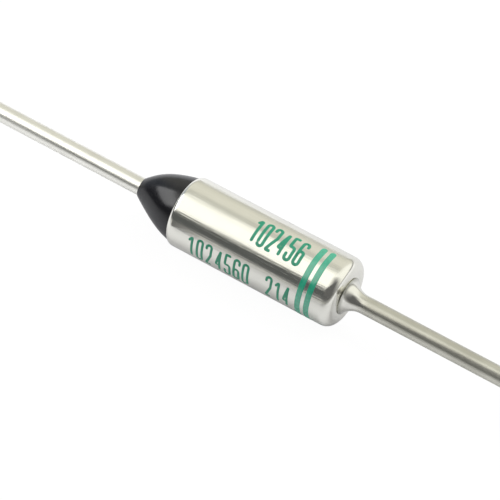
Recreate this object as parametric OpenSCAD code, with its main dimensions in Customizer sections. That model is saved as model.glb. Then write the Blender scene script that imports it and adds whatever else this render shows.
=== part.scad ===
// Axial-lead thermal fuse with a melting pellet, in millimetres.
// The axis of the case lies along X. The case lead leaves towards +X and the isolated lead
// towards -X. The origin is on the axis, halfway along the case.

/* [Case] */
// Outside diameter of the case
case_d = 4; // [3.6:0.1:5]
// Length of the case, from the rolled mouth to the closed end
case_len = 10.3; // [9.6:0.1:14]
// Thickness of the side wall
case_wall = 0.3; // [0.25:0.05:0.4]
// Thickness of the closed end
end_wall = 0.45; // [0.35:0.05:0.8]
// Outside round of the closed end
end_round = 0.6; // [0.35:0.05:1]
// Inside round between the side wall and the floor
floor_round = 0.2; // [0.05:0.05:0.35]
// Width of the ledge inside the mouth that the bushing seats on
ledge = 0.1; // [0.06:0.02:0.14]
// Outside round of the rolled mouth
mouth_round = 0.4; // [0.3:0.05:0.5]
// How far the rolled lip reaches in past its round
lip_reach = 0.1; // [0.05:0.05:0.25]

/* [Leads] */
// Diameter of the two lead wires
lead_d = 1; // [0.7:0.05:1.2]
// Length of the isolated lead, from the mouth of the case to its cut end
isolated_len = 33; // [15:1:60]
// Length of the case lead, from the closed end to its cut end
case_lead_len = 33; // [10:1:60]
// Bevel at the cut ends
cut_bevel = 0.06; // [0.02:0.02:0.2]

/* [Case lead foot] */
// How far the flared foot stands out round the wire
flare_step = 0.56; // [0.2:0.02:0.7]
// Length of the flared foot
flare_len = 1.05; // [0.7:0.05:2]
// Height of the straight edge of the flared foot
flare_edge = 0.04; // [0.02:0.02:0.2]
// How far the rivet head stands out round the wire
rivet_step = 0.3; // [0.1:0.05:0.5]
// Depth of the rivet head in the closed end
rivet_depth = 0.22; // [0.1:0.02:0.3]

/* [Isolated lead head] */
// How far the contact head stands out round the wire
head_step = 0.28; // [0.1:0.02:0.34]
// Thickness of the contact head
head_len = 0.4; // [0.2:0.05:0.8]
// Round on the rim of the contact head
head_round = 0.12; // [0.04:0.02:0.18]
// How far the locking collar stands out round the wire
collar_step = 0.22; // [0.1:0.02:0.34]
// Length of the locking collar, before it tapers to the wire
collar_len = 0.3; // [0.15:0.05:0.6]
// Length of plain wire inside the tip of the resin, past the collar's taper
tip_cover = 0.15; // [0.1:0.05:0.4]

/* [Bushing] */
// Length of the flange that is held in the mouth
flange_len = 1.2; // [0.8:0.1:1.8]
// Wall of the sleeve that carries the trip spring
sleeve_wall = 0.33; // [0.26:0.01:0.4]
// Length of the sleeve
sleeve_len = 1.2; // [0.8:0.1:1.6]
// Wall of the nose that stands in the resin
nose_wall = 0.4; // [0.3:0.05:0.6]
// Length of the nose
nose_len = 1.2; // [0.6:0.1:1.3]
// Bevel on the end of the sleeve
sleeve_bevel = 0.08; // [0.02:0.02:0.16]

/* [Resin seal] */
// Length of the resin cone, from the mouth of the case to its tip
seal_len = 2.65; // [2:0.05:4.5]
// How far the edge of the resin lies in from the outside of the case
seal_inset = 0.15; // [0.1:0.01:0.3]
// Thickness of the resin round the lead at the tip
seal_tip = 0.05; // [0.02:0.01:0.2]
// How far the flank of the cone bows out from a straight line
seal_bow = 0.18; // [0.02:0.01:0.3]

/* [Contact] */
// Thickness of the contact sheet
sheet = 0.12; // [0.08:0.01:0.16]
// Number of contact fingers
fingers = 10; // [6:1:14]
// Width of the slots between the fingers
finger_slot = 0.18; // [0.1:0.02:0.3]
// Lean of the fingers from the axis, in degrees
finger_lean = 40; // [32:1:55]
// Flat rim of the contact outside the trip spring
contact_rim = 0.06; // [0.02:0.02:0.12]

/* [Springs] */
// Wire of the trip spring
trip_wire = 0.18; // [0.12:0.02:0.22]
// Spacing of the trip spring's turns, as fitted
trip_pitch = 0.36; // [0.28:0.02:0.5]
// Wire of the barrel spring
barrel_wire = 0.3; // [0.2:0.02:0.38]
// Spacing of the barrel spring's turns, as fitted
barrel_pitch = 0.48; // [0.42:0.02:0.8]
// How far the middle of the barrel spring stands out past its ends
barrel_belly = 0.18; // [0:0.02:0.3]

/* [Disks and pellet] */
// Thickness of the two disks
disk_t = 0.25; // [0.15:0.05:0.4]
// Length of the pellet
pellet_len = 2.6; // [1.6:0.1:3.4]

/* [Clearances] */
// Gap round pieces that are fixed together
fit_gap = 0.01; // [0.005:0.005:0.02]
// Gap between the pieces that slide and the bore of the case
slide_gap = 0.03; // [0.01:0.01:0.06]
// Gap between the finger tips and the bore of the case
finger_gap = 0.01; // [0.005:0.005:0.03]
// Gap at each end of a spring
spring_gap = 0.01; // [0.005:0.005:0.03]
// Gap between a spring and what lies round or inside it
spring_side = 0.06; // [0.04:0.01:0.1]

/* [Hidden] */

// Smoothness: steps round the axis, along an arc, along one turn and round a spring's wire
round_steps = 96;
arc_steps = 10;
turn_steps = 20;
wire_sides = 10;
// Height of a shut end turn as a share of the wire, and how gently that turn leaves its seat
shut_turn = 1.1;
turn_ease = 1.6;
// Reach of a cut past the faces that it opens
cut_over = 0.1;

// Radii of the case
case_r = case_d / 2;
bore_r = case_r - case_wall;
mouth_wall = case_wall - ledge;
mouth_bore_r = case_r - mouth_wall;
mouth_crest_r = case_r - mouth_round;
lip_r = mouth_crest_r - lip_reach;
slide_r = bore_r - slide_gap;

// Radii of the leads and the bushing
lead_r = lead_d / 2;
flare_r = lead_r + flare_step;
rivet_r = lead_r + rivet_step;
head_r = lead_r + head_step;
collar_r = lead_r + collar_step;
hole_r = lead_r + fit_gap;
sleeve_r = hole_r + sleeve_wall;
nose_r = hole_r + nose_wall;
flange_r = mouth_bore_r - fit_gap;

// Stations along X, from the mouth inwards
mouth_x = -case_len / 2;
mouth_turn_x = mouth_x + mouth_round;
lip_x = mouth_x + mouth_wall;
ledge_x = lip_x + flange_len;
sleeve_x = ledge_x + sleeve_len;
contact_x = sleeve_x + head_len;
contact_back_x = contact_x + sheet;
barrel_from_x = contact_back_x + disk_t;

// Stations along X, from the mouth outwards
nose_x = lip_x - nose_len;
collar_x = nose_x - collar_len;
seal_x = mouth_x - seal_len;
taper_x = seal_x + tip_cover;
isolated_cut_x = mouth_x - isolated_len;

// Stations along X, from the closed end inwards and outwards
end_x = case_len / 2;
floor_x = end_x - end_wall;
pellet_x = floor_x - pellet_len;
barrel_to_x = pellet_x - disk_t;
flare_x = end_x + flare_len;
case_cut_x = end_x + case_lead_len;

// Radii of the springs, at the middle of the wire, and of the contact
trip_small_r = max(sleeve_r, head_r) + spring_side + trip_wire / 2;
trip_large_r = bore_r - spring_side - trip_wire / 2;
barrel_end_r = bore_r - spring_side - barrel_wire / 2 - barrel_belly;
contact_flat_r = trip_small_r + trip_wire / 2 + contact_rim;

// Points along an arc about a centre, from one angle to another
function arc(centre, r, from, to) =
    [for (i = [0:arc_steps])
        let (a = from + (to - from) * i / arc_steps)
        centre + r * [cos(a), sin(a)]];

// Points along an arc from p to q that bows out by rise, to the right of the way from p to q
function bowed(p, q, rise) =
    let (
        chord = norm(q - p),
        r = (chord * chord / 4 + rise * rise) / (2 * rise),
        right = [q.y - p.y, p.x - q.x] / chord,
        centre = (p + q) / 2 - (r - rise) * right,
        to_p = p - centre,
        to_q = q - centre)
    arc(centre, r, atan2(to_p.y, to_p.x), atan2(to_q.y, to_q.x));

// A turned piece: its outline gives radius and station along X
module turned(outline) {
    rotate([0, 90, 0])
        rotate_extrude($fn = round_steps)
            polygon(outline);
}

// Height of a coil's middle line above its seat: shut end turns, open turns between them
function coil_rise(turn, turns, wire, span) =
    let (
        shut = shut_turn * wire,
        open = (span - 2 * shut) / (turns - 2))
    turn < 1 ? shut * pow(turn, turn_ease)
    : turn > turns - 1 ? span - shut * pow(max(turns - turn, 0), turn_ease)
    : shut + open * (turn - 1);

// A coil spring between two stations, whose radius runs from one end's to the other's
module coil(from_x, to_x, wire, pitch, from_r, to_r, belly) {
    span = to_x - from_x - wire - 2 * spring_gap;
    turns = span / pitch;
    rings = ceil(turns * turn_steps);
    wire_r = wire / 2;
    points = [for (i = [0:rings], j = [0:wire_sides - 1])
        let (
            share = i / rings,
            around = 360 * turns * share,
            across = 360 * j / wire_sides,
            rise = coil_rise(turns * share, turns, wire, span),
            middle_r = from_r + (to_r - from_r) * share + belly * sin(180 * share),
            r = middle_r + wire_r * cos(across))
        [from_x + spring_gap + wire_r * (1 + sin(across)) + rise, r * cos(around), r * sin(around)]];
    side_faces = [for (i = [0:rings - 1], j = [0:wire_sides - 1], half = [0, 1])
        let (
            k = (j + 1) % wire_sides,
            a = i * wire_sides + j,
            b = i * wire_sides + k,
            c = a + wire_sides,
            d = b + wire_sides)
        half == 0 ? [a, c, b] : [b, c, d]];
    first_cap = [for (j = [0:wire_sides - 1]) j];
    last_cap = [for (j = [wire_sides - 1:-1:0]) rings * wire_sides + j];
    polyhedron(points, concat([first_cap], side_faces, [last_cap]));
}

// Drawn can: closed end with a countersunk hole, stepped mouth rolled in over the bushing
module case() {
    end_centre = [case_r - end_round, end_x - end_round];
    mouth_centre = [mouth_crest_r, mouth_turn_x];
    floor_centre = [bore_r - floor_round, floor_x - floor_round];
    outside = concat(
        [[hole_r, end_x]],
        arc(end_centre, end_round, 90, 0),
        arc(mouth_centre, mouth_round, 0, -90),
        [[lip_r, mouth_x]]);
    inside = concat(
        [[lip_r, lip_x]],
        arc(mouth_centre, mouth_round - mouth_wall, -90, 0),
        [[mouth_bore_r, ledge_x], [bore_r, ledge_x]],
        arc(floor_centre, floor_round, 0, 90),
        [[rivet_r + fit_gap, floor_x], [hole_r, floor_x + rivet_depth]]);
    color("silver") turned(concat(outside, inside));
}

// Wire with a flared foot outside the closed end and a flush rivet head inside it
module case_lead() {
    foot_rise = flare_len - flare_edge;
    foot_r = (flare_step * flare_step + foot_rise * foot_rise) / (2 * flare_step);
    foot_turn = atan2(foot_rise, foot_r - flare_step);
    foot_centre = [lead_r + foot_r, flare_x];
    foot = arc(foot_centre, foot_r, 180 + foot_turn, 180);
    color([0.78, 0.77, 0.73]) turned(concat(
        [[0, floor_x], [rivet_r, floor_x], [lead_r, floor_x + rivet_depth],
            [lead_r, end_x], [flare_r, end_x]],
        foot,
        [[lead_r, case_cut_x - cut_bevel], [lead_r - cut_bevel, case_cut_x], [0, case_cut_x]]));
}

// Wire with a contact head inside the bushing and a tapered locking collar outside it
module isolated_lead() {
    head = arc([head_r - head_round, contact_x - head_round], head_round, 0, 90);
    color([0.82, 0.81, 0.78]) turned(concat(
        [[0, isolated_cut_x], [lead_r - cut_bevel, isolated_cut_x], [lead_r, isolated_cut_x + cut_bevel],
            [lead_r, taper_x], [collar_r, collar_x], [collar_r, nose_x], [lead_r, nose_x],
            [lead_r, sleeve_x], [head_r, sleeve_x]],
        head,
        [[0, contact_x]]));
}

// Stepped ceramic insulator: nose in the resin, flange in the mouth, sleeve under the trip spring
module bushing() {
    color("ivory") turned([
        [hole_r, nose_x], [nose_r, nose_x], [nose_r, lip_x], [mouth_crest_r, lip_x],
        [flange_r, mouth_turn_x], [flange_r, ledge_x], [sleeve_r, ledge_x],
        [sleeve_r, sleeve_x - sleeve_bevel], [sleeve_r - sleeve_bevel, sleeve_x], [hole_r, sleeve_x]]);
}

// Resin cone that fills the mouth round the nose and the collar and laps over the rolled lip
module resin_seal() {
    edge_r = case_r - seal_inset;
    lap_r = mouth_round + fit_gap;
    lap_turn = acos((edge_r - mouth_crest_r) / lap_r);
    lap = arc([mouth_crest_r, mouth_turn_x], lap_r, -lap_turn, -90);
    flank = bowed([hole_r + seal_tip, seal_x], lap[0], seal_bow);
    color([0.09, 0.09, 0.1]) turned(concat(
        [[hole_r, seal_x]],
        flank,
        lap,
        [[lip_r - fit_gap, mouth_x - fit_gap], [lip_r - fit_gap, lip_x], [nose_r + fit_gap, lip_x],
            [nose_r + fit_gap, nose_x], [collar_r + fit_gap, nose_x], [collar_r + fit_gap, collar_x],
            [hole_r, taper_x]]));
}

// Conical spring that pushes the contact off the isolated lead once the pellet melts
module trip_spring() {
    color("lightsteelblue")
        coil(ledge_x, contact_x, trip_wire, trip_pitch, trip_large_r, trip_small_r, 0);
}

// Slotted sheet cup whose fingers lean back and ride on the bore of the case
module star_contact() {
    tip_r = bore_r - finger_gap - sheet * cos(finger_lean);
    tip_x = contact_x - (tip_r - contact_flat_r) / tan(finger_lean);
    bend_r = contact_flat_r + sheet * (1 - sin(finger_lean)) / cos(finger_lean);
    slot_len = contact_back_x - tip_x + 2 * cut_over;
    color("gainsboro") difference() {
        turned([
            [0, contact_x], [contact_flat_r, contact_x], [tip_r, tip_x],
            [tip_r + sheet * cos(finger_lean), tip_x + sheet * sin(finger_lean)],
            [bend_r, contact_back_x], [0, contact_back_x]]);
        for (i = [0:fingers - 1])
            rotate([360 * i / fingers, 0, 0])
                translate([tip_x - cut_over, -finger_slot / 2, contact_flat_r])
                    cube([slot_len, finger_slot, bore_r]);
    }
}

// Loose disk that slides in the bore
module disk(from_x) {
    to_x = from_x + disk_t;
    turned([[0, from_x], [slide_r, from_x], [slide_r, to_x], [0, to_x]]);
}

// Disk that spreads the barrel spring's push over the back of the contact
module contact_disk() {
    color("darkgray") disk(contact_back_x);
}

// Strong spring, fuller in its middle, that holds the contact on the isolated lead
module barrel_spring() {
    color("slategray")
        coil(barrel_from_x, barrel_to_x, barrel_wire, barrel_pitch,
            barrel_end_r, barrel_end_r, barrel_belly);
}

// Disk that keeps the barrel spring from digging into the pellet
module pellet_disk() {
    color("darkgray") disk(barrel_to_x);
}

// Pressed tablet that melts at the rated temperature, bevelled to clear the floor's round
module pellet() {
    color("wheat") turned([
        [0, pellet_x], [slide_r, pellet_x], [slide_r, floor_x - floor_round],
        [slide_r - floor_round, floor_x], [0, floor_x]]);
}

case();
case_lead();
isolated_lead();
bushing();
resin_seal();
trip_spring();
star_contact();
contact_disk();
barrel_spring();
pellet_disk();
pellet();
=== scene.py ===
# %% [markdown]
# # An axial thermal fuse, dressed for its portrait
#
# A thermal fuse is a bright metal can with a wire at each end. Inside it a pellet melts when it gets
# too hot, and two springs then pull a contact away from one of the wires for good. The solids of the
# fuse arrive as a fixed frame, in metres, with the axis of the can along X. This lesson gives each
# piece a smooth skin and a finish, and leaves every size and place as the frame has it.

# %% Load the frame
import bpy
import numpy as np
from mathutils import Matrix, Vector


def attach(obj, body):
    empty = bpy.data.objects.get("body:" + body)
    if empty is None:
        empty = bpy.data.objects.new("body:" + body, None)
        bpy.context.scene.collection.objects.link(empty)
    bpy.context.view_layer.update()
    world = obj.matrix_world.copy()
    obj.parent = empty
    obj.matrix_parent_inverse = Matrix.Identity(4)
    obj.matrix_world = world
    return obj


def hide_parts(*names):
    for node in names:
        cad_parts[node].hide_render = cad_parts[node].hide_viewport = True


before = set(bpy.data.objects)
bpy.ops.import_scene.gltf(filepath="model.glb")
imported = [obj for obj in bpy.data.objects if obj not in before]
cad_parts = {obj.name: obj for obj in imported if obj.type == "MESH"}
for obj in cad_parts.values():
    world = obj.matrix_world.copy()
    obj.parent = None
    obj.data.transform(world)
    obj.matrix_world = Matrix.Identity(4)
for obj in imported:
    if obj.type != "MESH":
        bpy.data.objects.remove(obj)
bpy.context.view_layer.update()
scene = bpy.context.scene
MM = 0.001
print("pieces in the frame:", ", ".join(sorted(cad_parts)))

# %% [markdown]
# ## Reading sizes from the frame
#
# Almost every piece of this fuse was turned or drawn round one axis, so three numbers say most of
# what there is to know about a piece: where it starts along X, where it ends, and how far it reaches
# from the axis. They are measured on the solids here, so the skins can't drift away from them.


# %% Measure the turned pieces
def turned_size(node):
    """Start and end along X and the largest distance from the axis, in millimetres."""
    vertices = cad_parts[node].data.vertices
    places = np.empty(3 * len(vertices))
    vertices.foreach_get("co", places)
    x, y, z = places.reshape(-1, 3).T / MM
    return x.min(), x.max(), np.hypot(y, z).max()


mouth_x, end_x, case_r = turned_size("case")
floor_x, case_cut_x, flare_r = turned_size("case_lead")
isolated_cut_x, contact_x, head_r = turned_size("isolated_lead")
nose_x, sleeve_x, _ = turned_size("bushing")
seal_x, lip_x, seal_edge_r = turned_size("resin_seal")
print(f"case: {end_x - mouth_x:.2f} mm long, {2 * case_r:.2f} mm across")
print(f"cut end to cut end: {case_cut_x - isolated_cut_x:.2f} mm")

# %% [markdown]
# The boxes don't tell how thick a wall is or how round a corner is. Those sizes are real ones too, so
# they are named here once, in millimetres, beside the pieces that they belong to.

# %% Name the walls, rounds and gaps
FIT_GAP = 0.01
WIRE_R = 0.5
CASE_WALL = 0.3
MOUTH_WALL = 0.2
END_ROUND = 0.6
MOUTH_ROUND = 0.4
FLOOR_ROUND = 0.2
LIP_REACH = 0.1
FLANGE_LEN = 1.2
RIVET_R = 0.8
RIVET_DEPTH = 0.22
FLARE_LEN = 1.05
FLARE_EDGE = 0.04
COLLAR_R = 0.72
COLLAR_LEN = 0.3
NOSE_WALL = 0.4
HEAD_ROUND = 0.12
SEAL_TIP = 0.05
SEAL_BOW = 0.18
TIP_COVER = 0.15
CUT_ROUND = 0.06
EDGE_BREAK = 0.02

bore_r = case_r - CASE_WALL
hole_r = WIRE_R + FIT_GAP
nose_r = hole_r + NOSE_WALL
lip_r = case_r - MOUTH_ROUND - LIP_REACH
ledge_x = lip_x + FLANGE_LEN
collar_x = nose_x - COLLAR_LEN
taper_x = seal_x + TIP_COVER
print(f"bore: {2 * bore_r:.2f} mm across, wire: {2 * WIRE_R:.2f} mm across")

# %% [markdown]
# ## One mesh maker for every skin
#
# A skin is a stack of rings. Each ring has the same number of points, so the whole skin is one array
# of shape (rings, points round, 3), and the faces are the same four neighbours everywhere. Writing it
# as arrays keeps the shape readable as a formula, and Blender gets all the points at once. A ring
# stack can close on itself, as a hollow can's section does, or run out into a point at each end, as
# a wire does where its cut face meets the axis.

# %% Skin a stack of rings
SHARP_ANGLE = np.radians(40)


def wall_faces(lower, upper):
    """Quads between two rows of point numbers: each point, the one above, its neighbour, the next."""
    return np.stack([lower, upper, np.roll(upper, -1, axis=-1), np.roll(lower, -1, axis=-1)], axis=-1)


def enclosed(points, quads, fans):
    """Signed volume: the sum over all triangles of a . (b x c) / 6."""
    triangles = np.concatenate([quads[:, [0, 1, 2]], quads[:, [0, 2, 3]], fans])
    a, b, c = points[triangles].transpose(1, 0, 2)
    return np.einsum("ij,ij->", a, np.cross(b, c)) / 6


def skin(name, rings, joined):
    """A mesh object over rings (count, round, xyz) in millimetres.

    Point (i, j) meets (i + 1, j), (i + 1, j + 1) and (i, j + 1), and j runs round without a seam.
    Joined: the last ring meets the first one. Otherwise the first and last rings are single points,
    each closed by a fan of triangles. Faces are turned over if the volume inside comes out negative.
    """
    count, around = rings.shape[:2]
    if joined:
        points = rings.reshape(-1, 3)
        number = np.arange(count * around).reshape(count, around)
        quads = wall_faces(number, np.roll(number, -1, axis=0)).reshape(-1, 4)
        fans = np.empty((0, 3), int)
    else:
        points = np.concatenate([rings[0, :1], rings[1:-1].reshape(-1, 3), rings[-1, :1]])
        number = 1 + np.arange((count - 2) * around).reshape(count - 2, around)
        quads = wall_faces(number[:-1], number[1:]).reshape(-1, 4)
        first = np.stack([np.zeros(around, int), number[0], np.roll(number[0], -1)], axis=-1)
        tip = np.full(around, len(points) - 1)
        last = np.stack([tip, np.roll(number[-1], -1), number[-1]], axis=-1)
        fans = np.concatenate([first, last])
    if enclosed(points, quads, fans) < 0:
        quads = quads[:, ::-1]
        fans = fans[:, ::-1]
    mesh = bpy.data.meshes.new(name)
    mesh.from_pydata((points * MM).tolist(), [], quads.tolist() + fans.tolist())
    mesh.shade_smooth()
    mesh.set_sharp_from_angle(angle=SHARP_ANGLE)
    piece = bpy.data.objects.new(name, mesh)
    scene.collection.objects.link(piece)
    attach(piece, "root")
    return piece


def tell(piece):
    """Prints how many points and faces a piece has."""
    print(f"{piece.name}: {len(piece.data.vertices)} points, {len(piece.data.polygons)} faces")


# %% [markdown]
# ## Outlines with rounded corners
#
# A turner's drawing of such a piece is half of its section: a chain of corners, each with a radius.
# The helper takes exactly that. At each corner it steps back along both sides and bridges the gap with
# an arc. A short straight point before and after each arc keeps the long walls perfectly straight in
# the reflections.

# %% Round the corners of an outline
ARC_STEPS = 16
ARC_LEAD = 0.02
TINY = 1e-6


def rounded(corners, closed):
    """Points along an outline of corners (x, y, round), as an array (n, 2).

    With h half the angle inside a corner, the arc starts round / tan(h) back along each side, and its
    centre lies round / sin(h) along the line that halves the angle. The arc runs from one start to the
    other by turning its radius evenly, and a point ARC_LEAD outside each end leads into it.
    """
    x, y, turn = np.array(corners, float).T
    point = np.stack([x, y], axis=-1)
    back = np.roll(point, 1, axis=0) - point
    ahead = np.roll(point, -1, axis=0) - point
    back_len = np.linalg.norm(back, axis=1, keepdims=True)
    ahead_len = np.linalg.norm(ahead, axis=1, keepdims=True)
    back = back / back_len
    ahead = ahead / ahead_len
    if not closed:
        back[0] = -ahead[0]
        ahead[-1] = -back[-1]
    half = np.arccos(np.clip(np.sum(back * ahead, axis=1), -1, 1))[:, None] / 2
    turn = turn[:, None]
    cut = turn / np.tan(half)
    halving = back + ahead
    halving = halving / np.maximum(np.linalg.norm(halving, axis=1, keepdims=True), TINY)
    centre = point + halving * turn / np.sin(half)
    swing = np.pi - 2 * half
    share = np.linspace(0, 1, ARC_STEPS + 1)[None, :, None]
    whole = np.maximum(np.sin(swing), TINY)[:, None]
    weight_back = np.sin((1 - share) * swing[:, None]) / whole
    weight_ahead = np.sin(share * swing[:, None]) / whole
    arc_from = (point + back * cut - centre)[:, None]
    arc_to = (point + ahead * cut - centre)[:, None]
    arcs = centre[:, None] + weight_back * arc_from + weight_ahead * arc_to
    arcs = np.where(turn[:, None] > 0, arcs, point[:, None])
    lead = np.where(turn > 0, ARC_LEAD, 0)
    before = point + back * np.minimum(cut + lead, back_len / 2 + cut / 2)
    after = point + ahead * np.minimum(cut + lead, ahead_len / 2 + cut / 2)
    path = np.concatenate([before[:, None], arcs, after[:, None]], axis=1).reshape(-1, 2)
    step = np.linalg.norm(np.diff(path, axis=0, append=path[:1] if closed else path[-1:] + 1), axis=1)
    return path[step > TINY]


def bow_corner(start, finish, rise):
    """The corner (x, y, round) whose arc runs from start to finish and rises to the left of that line.

    The arc turns by 4 atan(2 rise / chord), and the corner stands over the middle of the chord.
    """
    start = np.array(start)
    finish = np.array(finish)
    chord = finish - start
    length = np.linalg.norm(chord)
    half_turn = 2 * np.arctan(2 * abs(rise) / length)
    left = np.array([-chord[1], chord[0]]) / length * np.sign(rise)
    corner = (start + finish) / 2 + left * length / 2 * np.tan(half_turn)
    return (*corner, length / 2 / np.sin(half_turn))


print("points on a test corner:", len(rounded([(0, 0, 0), (1, 0, 0.2), (1, 1, 0)], closed=False)))

# %% [markdown]
# ## Turning an outline round the axis
#
# The angle is counted from straight up towards the camera's side, which is the way the print on the
# can is laid out later. A spin modifier could do the same, but the formula also gives control over
# how many steps go round, and the seam is closed by the numbering alone.

# %% Turn an outline into a piece
ROUND_STEPS = 192


def around_axis(x, radius, angle):
    """Places at a station, a distance from the axis and an angle from +Z towards -Y."""
    return np.stack(np.broadcast_arrays(x, -radius * np.sin(angle), radius * np.cos(angle)), axis=-1)


ANGLES = np.linspace(0, 2 * np.pi, ROUND_STEPS, endpoint=False)


def turned(name, corners, hollow):
    """A piece turned about X from corners (station, radius, round): each outline point is a ring."""
    outline = rounded(corners, closed=hollow)
    rings = around_axis(outline[:, :1], outline[:, 1:], ANGLES[None, :])
    piece = skin(name, rings, joined=hollow)
    tell(piece)
    return piece


# %% [markdown]
# ## The can
#
# The can is deep drawn from brass sheet: a round-cornered closed end, a straight wall, and a thinner
# mouth that is rolled inwards over the ceramic bushing once everything is inside. The outline goes
# round the outside from the closed end to the mouth and comes back along the inside, so the can is a
# real shell with a floor, a ledge and a countersunk hole for the rivet.

# %% Draw the can
case = turned("drawn_can", [
    (end_x, hole_r, 0),
    (end_x, case_r, END_ROUND),
    (mouth_x, case_r, MOUTH_ROUND),
    (mouth_x, lip_r, EDGE_BREAK),
    (lip_x, lip_r, EDGE_BREAK),
    (lip_x, case_r - MOUTH_WALL, MOUTH_ROUND - MOUTH_WALL),
    (ledge_x, case_r - MOUTH_WALL, 0),
    (ledge_x, bore_r, 0),
    (floor_x, bore_r, FLOOR_ROUND),
    (floor_x, RIVET_R + FIT_GAP, 0),
    (floor_x + RIVET_DEPTH, hole_r, 0),
], hollow=True)
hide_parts("case")

# %% [markdown]
# ## The case lead and its flared foot
#
# This wire is upset into a trumpet foot outside the can and riveted over inside it. The foot runs into
# the wire along one arc, tangent to the wire, so the corner for it is placed where the two tangents
# meet.

# %% Draw the case lead
flare_step = flare_r - WIRE_R
foot_len = FLARE_LEN - FLARE_EDGE
foot_round = (flare_step ** 2 + foot_len ** 2) / (2 * flare_step)
foot_turn = np.arctan2(foot_len, foot_round - flare_step)
flare_x = end_x + FLARE_LEN
case_lead = turned("flared_case_lead", [
    (floor_x, 0, 0),
    (floor_x, RIVET_R, 0),
    (floor_x + RIVET_DEPTH, WIRE_R, 0),
    (end_x, WIRE_R, 0),
    (end_x, flare_r, EDGE_BREAK),
    (end_x + FLARE_EDGE, flare_r, 0),
    (flare_x - foot_round * np.tan(foot_turn / 2), WIRE_R, foot_round),
    (case_cut_x, WIRE_R, CUT_ROUND),
    (case_cut_x, 0, 0),
], hollow=False)
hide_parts("case_lead")

# %% [markdown]
# ## The isolated lead
#
# The other wire passes through the ceramic without touching the can. It carries a flat contact head
# inside and a tapered locking collar in the resin. Only its straight part is seen.

# %% Draw the isolated lead
isolated_lead = turned("isolated_lead_wire", [
    (isolated_cut_x, 0, 0),
    (isolated_cut_x, WIRE_R, CUT_ROUND),
    (taper_x, WIRE_R, 0),
    (collar_x, COLLAR_R, EDGE_BREAK),
    (nose_x, COLLAR_R, 0),
    (nose_x, WIRE_R, 0),
    (sleeve_x, WIRE_R, 0),
    (sleeve_x, head_r, EDGE_BREAK),
    (contact_x, head_r, HEAD_ROUND),
    (contact_x, 0, 0),
], hollow=False)
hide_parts("isolated_lead")

# %% [markdown]
# ## The resin cone
#
# Black epoxy is run round the lead and over the rolled lip, and surface tension pulls it into a cone
# with a full belly. Its flank is one arc, given by how far it bows from a straight line. Real resin
# also slumps a little to one side while it sets, most of all near its tip, so the flank is shifted
# sideways by a smooth hump that leans to the tip and fades to nothing there and at the lip.

# %% Cast the resin cone
SLUMP = 0.07
SLUMP_LEAN = 0.6
SLUMP_ANGLE = np.radians(-58)
mouth_turn_x = mouth_x + MOUTH_ROUND
mouth_crest_r = case_r - MOUTH_ROUND
lap_r = MOUTH_ROUND + FIT_GAP
seal_edge_x = mouth_turn_x - np.sqrt(lap_r ** 2 - (seal_edge_r - mouth_crest_r) ** 2)
seal_tip = (seal_x, hole_r + SEAL_TIP)
seal_edge = (seal_edge_x, seal_edge_r)
lap_foot = (mouth_turn_x - lap_r, mouth_crest_r)
lap_chord = np.hypot(seal_edge[0] - lap_foot[0], seal_edge[1] - lap_foot[1])
lap_rise = lap_r - np.sqrt(lap_r ** 2 - lap_chord ** 2 / 4)

seal_outline = rounded([
    (seal_x, hole_r, 0),
    (*seal_tip, 0),
    bow_corner(seal_tip, seal_edge, SEAL_BOW),
    (*seal_edge, 0),
    bow_corner(seal_edge, lap_foot, -lap_rise),
    (*lap_foot, 0),
    (mouth_x - FIT_GAP, lip_r - FIT_GAP, 0),
    (lip_x, lip_r - FIT_GAP, 0),
    (lip_x, nose_r + FIT_GAP, 0),
    (nose_x, nose_r + FIT_GAP, 0),
    (nose_x, COLLAR_R + FIT_GAP, 0),
    (collar_x, COLLAR_R + FIT_GAP, 0),
    (taper_x, hole_r, 0),
], closed=True)
seal_rings = around_axis(seal_outline[:, :1], seal_outline[:, 1:], ANGLES[None, :])
along_flank = np.clip((seal_outline[:, 0] - seal_x) / (seal_edge_x - seal_x), 0, 1)
on_flank = seal_outline[:, 1] > hole_r + SEAL_TIP / 2 + (seal_edge_r - hole_r) * along_flank / 2
hump = SLUMP * np.sin(np.pi * along_flank ** SLUMP_LEAN) ** 2 * on_flank
seal_rings += hump[:, None, None] * around_axis(0, 1, SLUMP_ANGLE)
resin = skin("resin_cone", seal_rings, joined=True)
tell(resin)
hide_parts("resin_seal")

# %% [markdown]
# ## The two springs
#
# A spring is a circle carried along a helix. The middle line comes first: its end turns lie shut
# against their seats and the turns between them are spread evenly. At each point the wire's circle
# stands square to the line, spanned by the direction out from the axis and by the one across both.
# The circle shrinks to a point over a short stretch at each end, which leaves the small rounded cut
# that a coiling machine makes.

# %% Wind the springs
TURN_STEPS = 60
WIRE_SIDES = 18
SHUT_TURN = 1.1
TURN_EASE = 1.6
SPRING_SIDE = 0.06


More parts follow.
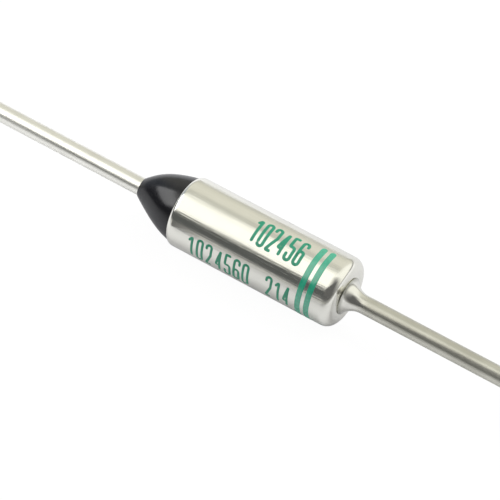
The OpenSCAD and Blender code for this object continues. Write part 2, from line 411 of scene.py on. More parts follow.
def coil(name, node, wire, pitch, from_r, to_r, belly):
    """A coil spring in the place of a node.

    The line is (x(t), r(t) cos a, r(t) sin a) with a = 2 pi turns t. Its radius runs evenly from one
    end's to the other's plus belly sin(pi t). Its rise is a power of the turn in the shut end turns
    and even between them.
    """
    from_x, to_x, _ = turned_size(node)
    span = to_x - from_x - wire
    turns = span / pitch
    share = np.linspace(0, 1, int(turns * TURN_STEPS))
    turn = turns * share
    shut = SHUT_TURN * wire
    even = shut + (span - 2 * shut) / (turns - 2) * (turn - 1)
    rise = np.where(turn < 1, shut * np.minimum(turn, 1) ** TURN_EASE, even)
    left = np.clip(turns - turn, 0, 1)
    rise = np.where(turn > turns - 1, span - shut * left ** TURN_EASE, rise)
    radius = from_r + (to_r - from_r) * share + belly * np.sin(np.pi * share)
    angle = 2 * np.pi * turn
    outward = np.stack([0 * angle, np.cos(angle), np.sin(angle)], axis=-1)
    line = radius[:, None] * outward
    line[:, 0] = from_x + wire / 2 + rise
    ahead = np.gradient(line, axis=0)
    ahead /= np.linalg.norm(ahead, axis=1, keepdims=True)
    across = np.cross(ahead, outward)
    across /= np.linalg.norm(across, axis=1, keepdims=True)
    outward = np.cross(across, ahead)
    walked = np.concatenate([[0], np.cumsum(np.linalg.norm(np.diff(line, axis=0), axis=1))])
    to_end = np.minimum(walked, walked[-1] - walked)
    full = np.sqrt(1 - (1 - np.clip(to_end / (wire / 4), 0, 1)) ** 2)
    round_wire = np.linspace(0, 2 * np.pi, WIRE_SIDES, endpoint=False)
    ring = wire / 2 * full[:, None, None]
    rings = line[:, None] + ring * (np.cos(round_wire)[None, :, None] * outward[:, None]
                                    + np.sin(round_wire)[None, :, None] * across[:, None])
    piece = skin(name, rings, joined=False)
    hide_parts(node)
    tell(piece)
    return piece


TRIP_WIRE = 0.18
TRIP_PITCH = 0.36
BARREL_WIRE = 0.3
BARREL_PITCH = 0.48
BARREL_BELLY = 0.18
SLEEVE_R = 0.84
trip_large_r = bore_r - SPRING_SIDE - TRIP_WIRE / 2
trip_small_r = SLEEVE_R + SPRING_SIDE + TRIP_WIRE / 2
barrel_end_r = bore_r - SPRING_SIDE - BARREL_WIRE / 2 - BARREL_BELLY
springs = [
    coil("trip_coil", "trip_spring", TRIP_WIRE, TRIP_PITCH, trip_large_r, trip_small_r, 0),
    coil("barrel_coil", "barrel_spring", BARREL_WIRE, BARREL_PITCH,
         barrel_end_r, barrel_end_r, BARREL_BELLY),
]

# %% [markdown]
# ## The printed bands
#
# Two green bands cross the can near its closed end. A soft pad rolls the ink on from one side, so the
# bands stop short at the back, and their edges aren't quite true. Painting them in the can's material
# would be shorter, but as thin pieces of their own they can be recoloured or left off, and their edges
# catch light as real ink does. A bead of ink is drawn along a path on a flat sheet first, and the sheet
# is then rolled round the can: along the can stays along X, and up the sheet becomes an angle. Near
# each end the bead's width follows a half circle, so that it ends round and closes in a point.

# %% Print the bands
INK_LIFT = 0.007
INK_SINK = 0.001
INK_SIDES = 12
INK_STEP = 0.02
INK_FLATNESS = 0.5
INK_END_RISE = 3
BANDS_FROM_END = (1.875, 1.335)
BAND_WIDTH = 0.345
BAND_WANDER = 0.008
BAND_WAVES = (2, 5, 9)
BAND_TOP = np.radians(-23)
BAND_BOTTOM = np.radians(150)

around_ink = np.linspace(0, 2 * np.pi, INK_SIDES, endpoint=False)
ink_across = np.cos(around_ink)
ink_rise = np.sin(around_ink)
ink_top = INK_LIFT * np.abs(ink_rise) ** INK_FLATNESS
ink_height = np.where(ink_rise > TINY, ink_top, -INK_SINK)


def ink_stroke(path, width, start_x, base_angle):
    """Rings of a bead of ink along a path (n, 2) on a sheet that is rolled round the can.

    The section is (half width cos t, height(t)). Up the sheet by w turns the angle back by w / case_r.
    The path is first walked in even steps, so that the rings stand evenly along it.
    """
    walked = np.concatenate([[0], np.cumsum(np.linalg.norm(np.diff(path, axis=0), axis=1))])
    steps = np.linspace(0, walked[-1], int(walked[-1] / INK_STEP) + 2)
    along = np.interp(steps, walked, path[:, 0])
    up = np.interp(steps, walked, path[:, 1])
    path = np.stack([along, up], axis=-1)
    ahead = np.gradient(path, axis=0)
    ahead /= np.linalg.norm(ahead, axis=1, keepdims=True)
    side = np.stack([-ahead[:, 1], ahead[:, 0]], axis=-1)
    half = width / 2
    to_end = np.minimum(steps, steps[-1] - steps)
    full = np.sqrt(1 - (1 - np.clip(to_end / half, 0, 1)) ** 2)
    across = half * full[:, None] * ink_across[None, :]
    sheet = path[:, None] + across[..., None] * side[:, None]
    radius = case_r + ink_height[None, :] * np.minimum(full[:, None] * INK_END_RISE, 1)
    return around_axis(start_x + sheet[..., 0], radius, base_angle - sheet[..., 1] / case_r)


def band(name, place):
    """A stroke of ink round the can, which wanders along X as a sum of three slow waves of the angle."""
    angle = np.linspace(0, BAND_BOTTOM - BAND_TOP, ROUND_STEPS)
    waves = [np.sin(k * angle + k * k * place) for k in BAND_WAVES]
    wander = BAND_WANDER * np.mean(waves, axis=0)
    path = np.stack([wander, case_r * angle], axis=-1)
    piece = skin(name, ink_stroke(path, BAND_WIDTH, place, BAND_BOTTOM), joined=False)
    tell(piece)
    return piece


bands = [band(f"printed_band_{i + 1}", end_x - away) for i, away in enumerate(BANDS_FROM_END)]

# %% [markdown]
# ## The printed numbers
#
# A fuse carries a line or two of small condensed characters. Here they are plain numbers that name
# nothing. A font would bring hundreds of points that nobody chose, so each digit is a pen stroke
# instead: a chain of corners with the same rounding rule as the outlines above.

# %% Describe the digits as pen strokes
DIGIT_W = 0.30
DIGIT_H = 1.40
BOWL = DIGIT_W / 2 - 0.001
NICK = 0.04
LEFT, STEM, RIGHT = 0, 0.7 * DIGIT_W, DIGIT_W
FOOT, BAR, WAIST, BROW, TOP = (share * DIGIT_H for share in (0, 0.3, 0.56, 0.78, 1))

STROKES = {
    "0": [(True, [(LEFT, FOOT, BOWL), (RIGHT, FOOT, BOWL), (RIGHT, TOP, BOWL), (LEFT, TOP, BOWL)])],
    "1": [(False, [(LEFT, BROW, 0), (STEM, TOP, NICK), (STEM, FOOT, 0)])],
    "2": [(False, [(LEFT, BROW, 0), (LEFT, TOP, BOWL), (RIGHT, TOP, BOWL), (RIGHT, WAIST, BOWL),
                   (LEFT, FOOT, NICK), (RIGHT, FOOT, 0)])],
    "4": [(False, [(STEM, TOP, 0), (LEFT, BAR, NICK), (RIGHT, BAR, 0)]),
          (False, [(STEM, TOP, 0), (STEM, FOOT, 0)])],
    "5": [(False, [(RIGHT, TOP, 0), (LEFT, TOP, NICK), (LEFT, WAIST, NICK), (RIGHT, WAIST, BOWL),
                   (RIGHT, FOOT, BOWL), (LEFT, FOOT, BOWL), (LEFT, BAR, 0)])],
    "6": [(False, [(RIGHT, BROW, 0), (RIGHT, TOP, BOWL), (LEFT, TOP, BOWL), (LEFT, FOOT, BOWL),
                   (RIGHT, FOOT, BOWL), (RIGHT, WAIST, BOWL), (LEFT, WAIST, BOWL), (LEFT, BAR, 0)])],
}
print("digits drawn:", " ".join(STROKES))

# %% [markdown]
# A line of print takes a start and a pitch along the can, and lays each digit's strokes down with the
# same bead of ink as the bands. The line at the front is set with a thinner pen than the one on top.


# %% Roll the digits round the can
def pen_path(closed, corners):
    """The rounded stroke; a closed one starts in the middle of its last side and comes back there."""
    if not closed:
        return rounded(corners, closed=False)
    path = rounded(corners, closed=True)
    return np.concatenate([path, path[:2]])


def join_pieces(name, parts):
    """One object from several, with their points and faces kept as they are."""
    with bpy.context.temp_override(active_object=parts[0], selected_editable_objects=parts):
        bpy.ops.object.join()
    parts[0].name = name
    parts[0].data.name = name
    return parts[0]


def print_line(name, groups, pen, base_angle):
    """A line of ink: groups of digits (start station, digits) at one pitch, all on one base line."""
    places = [(start + DIGIT_PITCH * i, stroke)
              for start, digits in groups
              for i, digit in enumerate(digits)
              for stroke in STROKES[digit]]
    beads = [skin(f"{name}_{i}", ink_stroke(pen_path(*stroke), pen, x, base_angle), joined=False)
             for i, (x, stroke) in enumerate(places)]
    line = join_pieces(name, beads)
    tell(line)
    return line


DIGIT_PITCH = 0.555
TOP_PEN = 0.18
TOP_BASE = np.radians(27.5)
FRONT_PEN = 0.15
FRONT_BASE = np.radians(104)
TOP_LINE = [(-0.54, "102456")]
FRONT_LINE = [(-3.56, "102"), (-1.80, "4560"), (1.30, "214")]
numbers = [
    print_line("printed_numbers_top", TOP_LINE, TOP_PEN, TOP_BASE),
    print_line("printed_numbers_front", FRONT_LINE, FRONT_PEN, FRONT_BASE),
]

# %% [markdown]
# ## A small kit for finishes
#
# Every finish below is a graph of nodes that reads Object coordinates, so its grain has a real size
# in millimetres and stays put whatever the camera does. A few helpers keep the graphs short. They add
# a node, make a stretched noise, fade and blend values, and turn a noise into relief.


# %% Add nodes, noise and relief
def add(tree, kind, inputs=None, **settings):
    """A shader node with its settings made, and its inputs given a value or a link."""
    node = tree.nodes.new("ShaderNode" + kind)
    for name, value in settings.items():
        setattr(node, name, value)
    for name, value in (inputs or {}).items():
        if isinstance(value, bpy.types.NodeSocket):
            tree.links.new(value, node.inputs[name])
        else:
            node.inputs[name].default_value = value
    return node


def grain(tree, per_mm, detail=3.0, roughness=0.55):
    """Noise from 0 to 1 with the given number of lumps per millimetre along X, Y and Z."""
    place = add(tree, "TexCoord").outputs["Object"]
    stretch = tuple(lumps / MM for lumps in per_mm)
    moved = add(tree, "Mapping", {"Vector": place, "Scale": stretch}).outputs["Vector"]
    wanted = {"Vector": moved, "Scale": 1.0, "Detail": detail, "Roughness": roughness}
    return add(tree, "TexNoise", wanted).outputs["Fac"]


def station(tree):
    """The place along the can's axis, in metres."""
    place = add(tree, "TexCoord").outputs["Object"]
    return add(tree, "SeparateXYZ", {"Vector": place}).outputs["X"]


def fade(tree, value, low, at_low, high, at_high):
    """A value that runs evenly from one end's to the other's, and stays there."""
    reach = {"Value": value, "From Min": low, "From Max": high, "To Min": at_low, "To Max": at_high}
    return add(tree, "MapRange", reach).outputs["Result"]


def calc(tree, operation, first, second):
    """One sum, product or other step of arithmetic."""
    return add(tree, "Math", {0: first, 1: second}, operation=operation).outputs[0]


def spread(tree, value, low, high):
    """A noise of about 0.3 to 0.7 stretched to run from low to high."""
    return fade(tree, value, 0.3, low, 0.7, high)


def blend(tree, factor, first, second):
    """A colour between two colours, each given as a tone or as a link."""
    mix = add(tree, "Mix", {"Factor": factor}, data_type="RGBA")
    for socket, colour in zip(mix.inputs[6:8], (first, second)):
        if isinstance(colour, bpy.types.NodeSocket):
            tree.links.new(colour, socket)
        else:
            socket.default_value = (*colour, 1)
    return mix.outputs[2]


def tones(tree, value, dark, light):
    """A colour between dark and light by a noise."""
    return blend(tree, spread(tree, value, 0.0, 1.0), dark, light)


def relief(tree, height, depth_mm, under=None, share=1.0):
    """Relief of a real depth in millimetres, laid over another one if given, in full or in part."""
    inputs = {"Height": height, "Strength": share, "Distance": depth_mm * MM}
    if under is not None:
        inputs["Normal"] = under
    return add(tree, "Bump", inputs).outputs["Normal"]


def new_finish(name):
    """An empty material and its node tree."""
    material = bpy.data.materials.new(name)
    material.use_nodes = True
    material.node_tree.nodes.clear()
    return material, material.node_tree


def surface(tree, inputs):
    """Ends a finish with one surface shader."""
    shader = add(tree, "BsdfPrincipled", inputs)
    add(tree, "OutputMaterial", {"Surface": shader.outputs["BSDF"]})


# %% [markdown]
# ## Bright plating on the can
#
# The plating is nearly a mirror, so what it shows is the studio. Three things keep it from looking
# like polished glass: a slow waviness left by drawing, fine lines along the can from the die, and a
# faint cloudiness. The streaks of the die stop where the wall bends, because the rolled mouth and the
# rounded end were pressed smooth afterwards. On the closed end the lines become circles, made by a
# noise that reads only the distance from the axis.


# %% Make the plated finish
def rings_about_axis(tree, per_mm):
    """Noise that changes only with the distance from the X axis."""
    place = add(tree, "TexCoord").outputs["Object"]
    flat = add(tree, "VectorMath", {0: place, 1: (0.0, 1.0, 1.0)}, operation="MULTIPLY")
    distance = add(tree, "VectorMath", {0: flat.outputs["Vector"]}, operation="LENGTH").outputs["Value"]
    wanted = {"W": distance, "Scale": per_mm / MM, "Detail": 4.0}
    return add(tree, "TexNoise", wanted, noise_dimensions="1D").outputs["Fac"]


STREAKS_OUT = 0.4 * MM
STREAKS_FULL = 0.8 * MM


def plated_finish():
    material, tree = new_finish("bright_plating")
    x = station(tree)
    mouth = mouth_x * MM
    end = end_x * MM
    from_mouth = fade(tree, x, mouth + STREAKS_OUT, 0.0, mouth + STREAKS_FULL, 1.0)
    to_end = fade(tree, x, end - STREAKS_FULL, 1.0, end - STREAKS_OUT, 0.0)
    on_wall = calc(tree, "MULTIPLY", from_mouth, to_end)
    cloud = grain(tree, (0.5, 0.9, 0.9), detail=4)
    lines = grain(tree, (0.35, 9, 9), detail=4, roughness=0.7)
    streaks = grain(tree, (0.10, 3.2, 3.2), detail=5, roughness=0.65)
    waves = relief(tree, grain(tree, (0.25, 0.8, 0.8), detail=1), 0.006)
    drawn = relief(tree, streaks, 0.018, under=waves, share=on_wall)
    scored = relief(tree, lines, 0.0010, under=drawn)
    circles = relief(tree, rings_about_axis(tree, 7), 0.001, under=scored)
    surface(tree, {
        "Base Color": tones(tree, cloud, (0.86, 0.85, 0.775), (0.90, 0.89, 0.82)),
        "Metallic": 1.0,
        "Roughness": spread(tree, streaks, 0.06, 0.22),
        "Normal": circles,
    })
    return material


case.data.materials.append(plated_finish())

# %% [markdown]
# ## Tinned wire
#
# Tin on drawn copper wire is duller than the plating, and its marks run along the wire. Past its foot,
# the lead on the closed end is painted darker and yellower than the other; the darkness is painted
# shade.
# Its foot was pressed bright in the tool. So one finish runs from one state to the other along X, and
# the lead that is the same all along gets the same state twice. A thin dark line runs round the foot
# where it meets the can.
# There the colour turns grey, a third colour over the first part of a millimetre.


# %% Make the wire finishes
def wire_state(tree, patches, lines, dark, light, rough_low, rough_high):
    """The colour and the roughness of wire in one state."""
    return tones(tree, patches, dark, light), spread(tree, lines, rough_low, rough_high)


ROOT_TONE = (0.36, 0.36, 0.31)
ROOT_LEN = 0.18


def wire_finish(name, from_x, to_x, first, second, root_x=None):
    """Wire that changes from its first state to its second one between two stations in millimetres.

    A root at a third station is grey there and takes on the wire's own colour over ROOT_LEN.
    """
    material, tree = new_finish(name)
    lines = grain(tree, (0.12, 14, 14), detail=4, roughness=0.7)
    patches = grain(tree, (0.6, 1.5, 1.5), detail=3)
    span = {"Value": station(tree), "From Min": from_x * MM, "From Max": to_x * MM}
    along = add(tree, "MapRange", span, interpolation_type="SMOOTHSTEP").outputs["Result"]
    first_colour, first_rough = wire_state(tree, patches, lines, *first)
    second_colour, second_rough = wire_state(tree, patches, lines, *second)
    rough = add(tree, "Mix", {"Factor": along, "A": first_rough, "B": second_rough}).outputs["Result"]
    colour = blend(tree, along, first_colour, second_colour)
    if root_x is not None:
        # Grey at the root where the foot meets the can, giving way to the wire's own colour.
        grey = fade(tree, station(tree), root_x * MM, 1.0, (root_x + ROOT_LEN) * MM, 0.0)
        colour = blend(tree, grey, colour, ROOT_TONE)
    drawn = relief(tree, lines, 0.002)
    lumps = relief(tree, grain(tree, (0.5, 1.2, 1.2), detail=2), 0.003, under=drawn)
    surface(tree, {
        "Base Color": colour,
        "Metallic": 1.0,
        "Roughness": rough,
        "Normal": lumps,
    })
    return material


BRIGHT_TIN = ((0.84, 0.83, 0.77), (0.92, 0.91, 0.85), 0.28, 0.42)
PRESSED_TIN = ((0.76, 0.75, 0.69), (0.86, 0.85, 0.78), 0.10, 0.22)
# Painted shade: the case lead's wire past its foot is painted darker than the other lead.
SHADED_TIN = ((0.59, 0.58, 0.51), (0.71, 0.70, 0.62), 0.30, 0.44)
TIN_CHANGE = 0.5
isolated_lead.data.materials.append(
    wire_finish("bright_tin", isolated_cut_x, seal_x, BRIGHT_TIN, BRIGHT_TIN))
# The case lead's wire past its foot carries painted shade.
case_lead.data.materials.append(
    wire_finish("tin_with_painted_shade", flare_x - TIN_CHANGE, flare_x + TIN_CHANGE, PRESSED_TIN, SHADED_TIN,
                root_x=end_x))

# %% [markdown]
# ## Black resin
#
# Cast epoxy is glossy and nearly black. Its skin has a very slight orange peel, and dust fine enough
# to see only up close.


# %% Make the resin finish
def resin_finish():
    material, tree = new_finish("black_epoxy")
    mottle = grain(tree, (2, 2, 2), detail=4)
    dust = grain(tree, (14, 14, 14), detail=2)
    peel = relief(tree, grain(tree, (1.6, 1.6, 1.6), detail=2), 0.004)
    surface(tree, {
        "Base Color": tones(tree, mottle, (0.004, 0.004, 0.006), (0.010, 0.010, 0.012)),
        "Roughness": spread(tree, dust, 0.15, 0.23),
        "IOR": 1.45,
        "Normal": peel,
    })
    return material


resin.data.materials.append(resin_finish())

# %% [markdown]
# ## Green ink
#
# Thin ink on bright metal is part paint and part mirror: it glows where the can shows a lamp and goes
# deep where the can shows the dark of the room. A high index of refraction gives the paint that extra
# shine. The bands lie flat and shine more than the narrow beads of the numbers.


# %% Make the inks
def ink_finish(name, dark, light, index, rough_low, rough_high):
    material, tree = new_finish(name)
    thin = grain(tree, (5, 5, 5), detail=4)
    surface(tree, {
        "Base Color": tones(tree, thin, dark, light),
        "Roughness": spread(tree, thin, rough_low, rough_high),
        "IOR": index,
    })
    return material


band_ink = ink_finish("green_band_ink", (0.004, 0.32, 0.185), (0.010, 0.40, 0.245), 2.25, 0.16, 0.28)
number_ink = ink_finish("green_number_ink", (0.010, 0.23, 0.13), (0.020, 0.30, 0.175), 1.6, 0.3, 0.45)
for piece in bands:
    piece.data.materials.append(band_ink)
for piece in numbers:
    piece.data.materials.append(number_ink)

# %% [markdown]
# ## Finishes for what is inside
#
# The can hides the rest of the fuse, but the part can be opened, cut or taken apart, so nothing inside
# is left plain. Each piece keeps its own solid and gets the finish that it has on the bench: fired
# alumina, silvered sheet, stamped steel, pressed powder and drawn spring wire.


# %% Make the inner finishes
def ceramic_finish():
    material, tree = new_finish("fired_alumina")
    speckle = grain(tree, (12, 12, 12), detail=5)
    bloom = grain(tree, (0.8, 0.8, 0.8), detail=3)
    surface(tree, {
        "Base Color": tones(tree, bloom, (0.76, 0.73, 0.66), (0.86, 0.84, 0.78)),
        "Roughness": spread(tree, speckle, 0.42, 0.62),
        "Normal": relief(tree, speckle, 0.003),
    })
    return material


def steel_finish(name, dark, light, lines_per_mm, rough_low, rough_high):
    material, tree = new_finish(name)
    lines = grain(tree, lines_per_mm, detail=4, roughness=0.7)
    patches = grain(tree, (1.2, 1.2, 1.2), detail=4)
    surface(tree, {
        "Base Color": tones(tree, patches, dark, light),
        "Metallic": 1.0,
        "Roughness": spread(tree, lines, rough_low, rough_high),
        "Normal": relief(tree, lines, 0.002),
    })
    return material


def pellet_finish():
    material, tree = new_finish("pressed_powder")
    grains = grain(tree, (16, 16, 16), detail=3)
    patches = grain(tree, (1.5, 1.5, 1.5), detail=5)
    surface(tree, {
        "Base Color": tones(tree, patches, (0.66, 0.58, 0.42), (0.80, 0.73, 0.57)),
        "Roughness": spread(tree, grains, 0.70, 0.92),
        "Normal": relief(tree, grains, 0.006),
    })
    return material


spring_steel = steel_finish(
    "drawn_spring_wire", (0.40, 0.40, 0.41), (0.55, 0.55, 0.56), (6, 6, 6), 0.22, 0.38)
disk_steel = steel_finish(
    "stamped_steel", (0.48, 0.48, 0.49), (0.60, 0.60, 0.60), (10, 0.4, 10), 0.28, 0.46)
silver = steel_finish(
    "silvered_sheet", (0.80, 0.78, 0.74), (0.92, 0.91, 0.88), (8, 0.5, 8), 0.20, 0.34)
for spring in springs:
    spring.data.materials.append(spring_steel)

inner_finishes = {
    "bushing": ceramic_finish(),
    "star_contact": silver,
    "contact_disk": disk_steel,
    "pellet_disk": disk_steel,
    "pellet": pellet_finish(),
}
for node, finish in inner_finishes.items():
    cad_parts[node].material_slots[0].material = finish
print("finishes:", ", ".join(sorted(m.name for m in bpy.data.materials if m.users)))

# %% [markdown]
# ## The floor
#
# The fuse lies on a white sheet. To the camera the sheet is white paper with only a breath of shadow
# under the can. Bright metal sees the same sheet a little cooler and with more of its real shading, and
# with painted light and shade by place: painted lighter beyond both ends of the can, and painted darker
# in front of it.

# %% Lay the floor
FLOOR_HALF = 0.6
CAMERA_SHARE = 0.93
CAMERA_TONE = (1.03, 1.03, 1.03)
MIRROR_SHARE = 0.10
MIRROR_TONE = (0.69, 0.695, 0.735)
PAPER_TONE = (0.88, 0.88, 0.88)
# Painted shade in front of the can and painted light past both of its ends, seen only by mirrors.
PAINTED_SHADE_FRONT = (-0.036, 0.60, -0.004, 1.0)
PAINTED_LIGHT_LEFT = (-0.013, 1.25, -0.001, 1.0)
PAINTED_LIGHT_RIGHT = (0.013, 1.0, 0.018, 1.2)

floor_mesh = bpy.data.meshes.new("white_sheet")
floor_z = -case_r * MM
floor_corners = [(-FLOOR_HALF, -FLOOR_HALF, floor_z), (FLOOR_HALF, -FLOOR_HALF, floor_z),
                 (FLOOR_HALF, FLOOR_HALF, floor_z), (-FLOOR_HALF, FLOOR_HALF, floor_z)]
floor_mesh.from_pydata(floor_corners, [], [(0, 1, 2, 3)])
floor = bpy.data.objects.new("white_sheet", floor_mesh)
scene.collection.objects.link(floor)


paper, tree = new_finish("white_paper")
rays = add(tree, "LightPath").outputs
place = add(tree, "SeparateXYZ", {"Vector": add(tree, "NewGeometry").outputs["Position"]}).outputs
# Painted light and shade by place on the sheet, for mirror rays only.
ends = calc(tree, "MULTIPLY", fade(tree, place["X"], *PAINTED_LIGHT_LEFT), fade(tree, place["X"], *PAINTED_LIGHT_RIGHT))
near = calc(tree, "MULTIPLY", fade(tree, place["Y"], *PAINTED_SHADE_FRONT), ends)
shaded = add(tree, "VectorMath", {0: MIRROR_TONE, "Scale": near}, operation="SCALE").outputs["Vector"]
mirror = calc(tree, "MAXIMUM", rays["Is Glossy Ray"], rays["Is Transmission Ray"])
direct = calc(tree, "MULTIPLY", rays["Is Camera Ray"], CAMERA_SHARE)
share = calc(tree, "MAXIMUM", calc(tree, "MULTIPLY", mirror, MIRROR_SHARE), direct)
glow = blend(tree, rays["Is Camera Ray"], shaded, CAMERA_TONE)
pale = blend(tree, mirror, PAPER_TONE, shaded)
white = add(tree, "Emission", {"Color": glow, "Strength": 1.0}).outputs["Emission"]
sheet = add(tree, "BsdfDiffuse", {"Color": pale}).outputs["BSDF"]
both = add(tree, "MixShader", {0: share, 1: sheet, 2: white}).outputs["Shader"]
add(tree, "OutputMaterial", {"Surface": both})
floor_mesh.materials.append(paper)
print(f"floor at {floor_z / MM:.2f} mm, under the can")

# %% [markdown]
# ## The studio
#
# A bright can is lit by what stands round it. Overhead hangs a long white softbox, behind the fuse
# there is a cream wall, and the side where the camera stands is dark. Most of the world is a strip of
# those tones by the angle round the can's axis, from straight up towards the camera. The ends of the can
# look along the axis, where such a strip would run together into a star. So the right end sees tones by
# the compass angle instead, from dark in front to a white wall behind, and the left end sees the dim
# room. The camera itself sees plain white past the floor.

# %% Build the studio
SOFTBOX = (1.28, 1.27, 1.20)
WALL = (0.80, 0.79, 0.71)
DARK = (0.095, 0.10, 0.10)
SHEET = (0.85, 0.85, 0.83)
OVERHEAD = (
    (-180, SHEET),
    (-92, SHEET),
    (-89, (0.55, 0.55, 0.51)),
    (-84, (0.58, 0.58, 0.53)),
    (-75, (0.70, 0.69, 0.61)),
    (-55, WALL),
    (-40, (0.76, 0.75, 0.67)),
    (-30, (0.58, 0.58, 0.52)),
    (-22, (0.62, 0.62, 0.57)),
    (-13, (0.98, 0.98, 0.91)),
    (-4, SOFTBOX),
    (38, SOFTBOX),
    (43, (1.0, 1.0, 0.95)),
    (48.3, (0.17, 0.17, 0.17)),
    (56, DARK),
    (75, DARK),
    (79, (0.20, 0.20, 0.20)),
    (86, (0.66, 0.66, 0.64)),
    (180, SHEET),
)
RIGHT_SIDE = (
    (-180, (0.12, 0.12, 0.12)),
    (-35, (0.12, 0.12, 0.12)),
    (-25, (0.15, 0.15, 0.15)),
    (-12, (0.25, 0.25, 0.25)),
    (-2, (0.40, 0.40, 0.39)),
    (4, (0.58, 0.58, 0.55)),
    (10, (0.80, 0.80, 0.76)),
    (18, (1.08, 1.08, 1.02)),
    (67, (1.08, 1.08, 1.02)),
    (80, (0.86, 0.85, 0.78)),
    (90, WALL),
    (180, WALL),
)
LEFT_SIDE = (
    (-1.0, (0.10, 0.10, 0.11)),
    (-0.1, (0.10, 0.10, 0.11)),
    (0.3, (0.36, 0.40, 0.45)),
    (1.0, (0.36, 0.40, 0.45)),
)
TO_RIGHT = (-0.31, 0.0, 0.50, 1.0)
TO_LEFT = (-0.86, 1.0, -0.70, 0.0)
HORIZON = (0.05, 0.0, 0.18, 1.0)
HORIZON_TONE = (0.32, 0.32, 0.31)


def ramp(tree, value, stops):
    """The tone between stops (place, tone) at a value in the units of the places."""
    low, high = stops[0][0], stops[-1][0]
    strip = add(tree, "ValToRGB", {"Fac": fade(tree, value, low, 0.0, high, 1.0)})
    elements = strip.color_ramp.elements
    while len(elements) < len(stops):
        elements.new(0.5)
    for element, (place, tone) in zip(elements, stops):
        element.position = (place - low) / (high - low)
        element.color = (*tone, 1)
    return strip.outputs["Color"]


def degrees_between(tree, side, front):
    """The angle of the way (front, side), in degrees."""
    return calc(tree, "MULTIPLY", calc(tree, "ARCTAN2", side, front), np.degrees(1))


world = bpy.data.worlds.new("studio")
scene.world = world
world.use_nodes = True
tree = world.node_tree
tree.nodes.clear()
way = add(tree, "SeparateXYZ", {"Vector": add(tree, "TexCoord").outputs["Generated"]}).outputs
towards = calc(tree, "MULTIPLY", way["Y"], -1.0)
overhead = ramp(tree, degrees_between(tree, towards, way["Z"]), OVERHEAD)
right_side = ramp(tree, degrees_between(tree, way["Y"], way["X"]), RIGHT_SIDE)
right_side = blend(tree, fade(tree, way["Z"], *HORIZON), HORIZON_TONE, right_side)
left_side = ramp(tree, way["Y"], LEFT_SIDE)
tone = blend(tree, fade(tree, way["X"], *TO_RIGHT), overhead, right_side)
tone = blend(tree, fade(tree, way["X"], *TO_LEFT), tone, left_side)
room = add(tree, "Background", {"Color": tone, "Strength": 1.0}).outputs["Background"]
blank = add(tree, "Background", {"Color": (1, 1, 1, 1), "Strength": 1.0}).outputs["Background"]
seen = add(tree, "LightPath").outputs["Is Camera Ray"]
both = add(tree, "MixShader", {0: seen, 1: room, 2: blank}).outputs["Shader"]
add(tree, "OutputWorld", {"Surface": both})
print("studio tones:", len(OVERHEAD) + len(RIGHT_SIDE) + len(LEFT_SIDE))

# %% [markdown]
# Two lamps help the studio. A soft box off the resin's end makes the pale patch on the cone by its
# reflection. A second one stands high behind the fuse and lights the inks from above; it is left out of
# reflections, because the tones of the studio already stand for what the metal sees. Each lamp's
# strength is worked out from the brightness that its face should have.

# %% Hang the lamps
LAMP_AWAY = 0.12
SIDE_LAMP = {"way": (-0.837, -0.15, 0.53), "size": (0.088, 0.046), "tone": 3.3, "mirrored": True}
BACK_LAMP = {"way": (0.35, 0.50, 0.79), "size": (0.060, 0.060), "tone": 6.0, "mirrored": False}


def hang_lamp(name, way, size, tone, mirrored):
    """A rectangular lamp that faces the middle of the can; its power is tone x pi x area."""
    data = bpy.data.lights.new(name, "AREA")
    data.shape = "RECTANGLE"
    data.size, data.size_y = size
    data.energy = tone * np.pi * size[0] * size[1]
    lamp = bpy.data.objects.new(name, data)
    towards_lamp = Vector(way).normalized()
    lamp.location = towards_lamp * LAMP_AWAY
    lamp.rotation_euler = towards_lamp.to_track_quat("Z", "Y").to_euler()
    lamp.visible_glossy = mirrored
    scene.collection.objects.link(lamp)
    print(f"{name}: {data.energy * 1000:.1f} mW")


hang_lamp("side_softbox", **SIDE_LAMP)
hang_lamp("back_softbox", **BACK_LAMP)

# %% [markdown]
# ## The camera
#
# The camera looks down on the can from the right, from far enough away that the two leads stay
# nearly parallel. It stands a little to the left of the line through the middle of the can, which
# puts the can right of the middle of the picture without turning the camera.

# %% Set the camera
AZIMUTH = np.radians(33.40)
ELEVATION = np.radians(53.47)
CAMERA_AWAY = 0.220
CAMERA_LEFT = 0.806 * MM
CAMERA_UP = 0.121 * MM
LENS = 301.2
SENSOR = 36.0

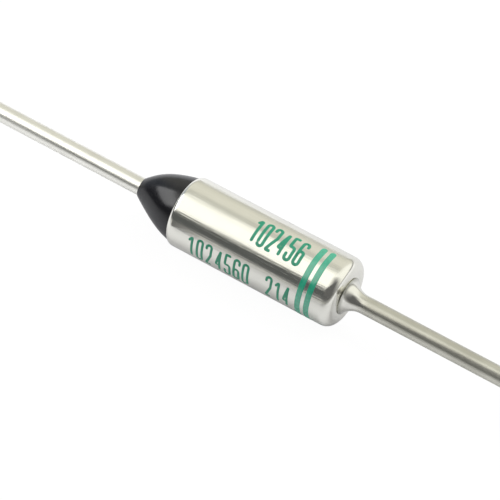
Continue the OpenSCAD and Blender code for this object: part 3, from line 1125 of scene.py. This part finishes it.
level = np.cos(ELEVATION)
camera_way = Vector((np.sin(AZIMUTH) * level, -np.cos(AZIMUTH) * level, np.sin(ELEVATION)))
camera_turn = camera_way.to_track_quat("Z", "Y")
camera_data = bpy.data.cameras.new("portrait_camera")
camera_data.lens = LENS
camera_data.sensor_width = SENSOR
camera_data.clip_start = MM
camera = bpy.data.objects.new("portrait_camera", camera_data)
camera.location = camera_way * CAMERA_AWAY + camera_turn @ Vector((-CAMERA_LEFT, CAMERA_UP, 0))
camera.rotation_euler = camera_turn.to_euler()
scene.collection.objects.link(camera)
scene.camera = camera
scene.view_settings.view_transform = "Standard"
print(f"camera {CAMERA_AWAY / MM:.0f} mm away, lens {LENS:.0f} mm")

# %% [markdown]
# ## Two painted dark reflections
#
# Two dark cards paint dark reflections: only reflections see them, and they light nothing and cast no
# shadow. One hangs over the right lead on the camera's side and hides the softbox in its mirror image,
# so that the dark stripe along the wire climbs towards its cut end. A slim one stands in front of the
# can's mouth, where the stripe on the can is broader. To put them where the metal sees them, the
# camera's ray is followed: a round bar along X turns it round the bar's axis and leaves its slope
# along X as it is.

# %% Hang the painted dark reflections
RIGHT_PAINTED_REFLECTION = {"away": 11, "corners": ((5.8, 39), (18, 3), (18, 60), (5.8, 60))}
MOUTH_PAINTED_REFLECTION = {"away": 20, "corners": ((-6.0, 77), (-3.4, 77), (-3.4, 95), (-6.0, 95))}
# Painted dark reflection: a dim glow that only reflections see.
PAINTED_REFLECTION_TONE = (0.13, 0.13, 0.13, 1)

reflection_card_finish, tree = new_finish("painted_dark_reflection")
reflection_card_glow = add(tree, "Emission", {"Color": PAINTED_REFLECTION_TONE, "Strength": 1.0}).outputs["Emission"]
add(tree, "OutputMaterial", {"Surface": reflection_card_glow})


def hang_painted_reflection(name, away, corners):
    """A painted dark reflection: a card whose corners (station in mm, angle in degrees) are those that
    the camera sees mirrored.

    A ray that comes from the way c meets the bar at station x and leaves at an angle a. After s
    millimetres it is at (x - c_x s, -l s sin a, l s cos a), where l is the length of c across X.
    """
    station, angle = np.array(corners, float).T
    across = away * np.hypot(camera_way.y, camera_way.z)
    places = around_axis(station - away * camera_way.x, across, np.radians(angle))
    mesh = bpy.data.meshes.new(name)
    mesh.from_pydata((places * MM).tolist(), [], [(0, 1, 2, 3)])
    mesh.materials.append(reflection_card_finish)
    dark_card = bpy.data.objects.new(name, mesh)
    dark_card.visible_camera = False
    dark_card.visible_diffuse = False
    dark_card.visible_shadow = False
    scene.collection.objects.link(dark_card)
    print(f"{name}: {away} mm away")


# Both cards are painted dark reflections, seen only by the metal's mirror.
hang_painted_reflection("right_painted_reflection", **RIGHT_PAINTED_REFLECTION)
hang_painted_reflection("mouth_painted_reflection", **MOUTH_PAINTED_REFLECTION)
